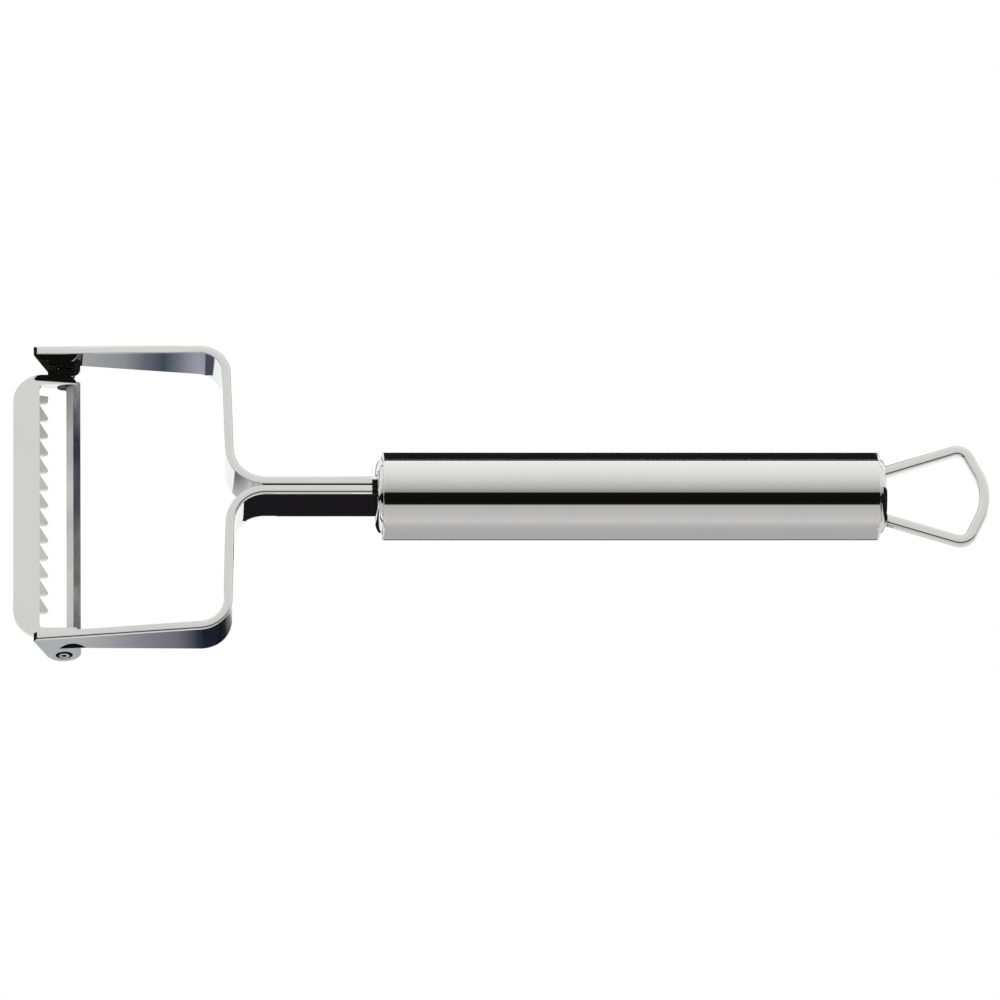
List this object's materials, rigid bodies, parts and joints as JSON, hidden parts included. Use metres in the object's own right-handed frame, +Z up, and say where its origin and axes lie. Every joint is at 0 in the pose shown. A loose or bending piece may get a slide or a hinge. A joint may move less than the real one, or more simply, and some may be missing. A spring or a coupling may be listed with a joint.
{
  "type": "julienne peeler",
  "caption": "Steel hand peeler with a tube handle, a forked head and a swivelling slotted blade whose row of teeth cuts vegetables into fine strips.",
  "frame": {"origin": "on the surface the tool lies on, under the middle of its length and width", "axes": "+X along the handle from the blade towards the hanging loop, +Y along the blade's pivot, +Z up"},
  "size_m": [0.2004, 0.0664, 0.018],
  "materials": {
    "polished_steel": "mirror polished stainless steel",
    "blade_steel": "bright hardened stainless steel with a ground edge",
    "plain_steel": "plain machined steel, hidden in the handle"
  },
  "bodies": {
    "handle_and_fork": {"handle_tube": "polished_steel", "front_cap": "polished_steel", "rear_cap": "polished_steel", "tang_plug": "plain_steel", "tang_cross_pin": "plain_steel", "loop_block": "plain_steel", "hanging_loop": "polished_steel", "fork_arm_left": "polished_steel", "fork_arm_right": "polished_steel"},
    "blade": {"julienne_blade": "blade_steel", "pivot_pin_left": "blade_steel", "pivot_pin_right": "blade_steel"}
  },
  "joints": [
    {"name": "blade_swivel", "type": "hinge", "parent": "handle_and_fork", "child": "blade", "pos_m": [-0.0896, 0, 0.0032], "axis": [0, 1, 0], "range_deg": [-20, 20]}
  ]
}
